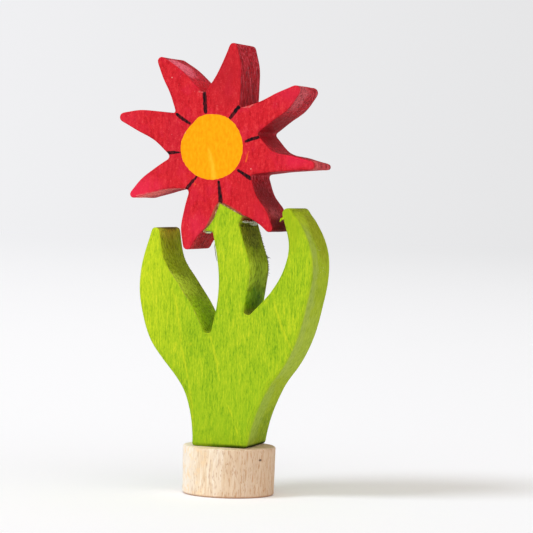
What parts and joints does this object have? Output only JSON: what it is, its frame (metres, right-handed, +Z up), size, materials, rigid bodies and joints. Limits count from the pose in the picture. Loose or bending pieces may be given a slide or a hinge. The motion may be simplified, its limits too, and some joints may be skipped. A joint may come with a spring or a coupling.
{
  "type": "wooden aster flower",
  "caption": "Flat wooden aster flower with stained irregular petals and two leaves, on a round natural wood plug disc.",
  "frame": {"origin": "middle of the disc's underside, where the flower stands on a flat surface", "axes": "+Z up along the disc's axis, +X to the right of someone who looks at the painted face, +Y to the back: the face looks towards -Y"},
  "size_m": [0.0442, 0.02, 0.0967],
  "materials": {
    "natural_wood": "bare, fine sanded",
    "dowel_wood": "bare, turned",
    "green_stained_wood": "water stain under thin oil, satin",
    "red_stained_wood": "water stain under thin oil, satin"
  },
  "bodies": {
    "root": {"base_disc": "natural_wood", "dowel": "dowel_wood", "foliage": "green_stained_wood", "blossom": "red_stained_wood"}
  },
  "joints": []
}
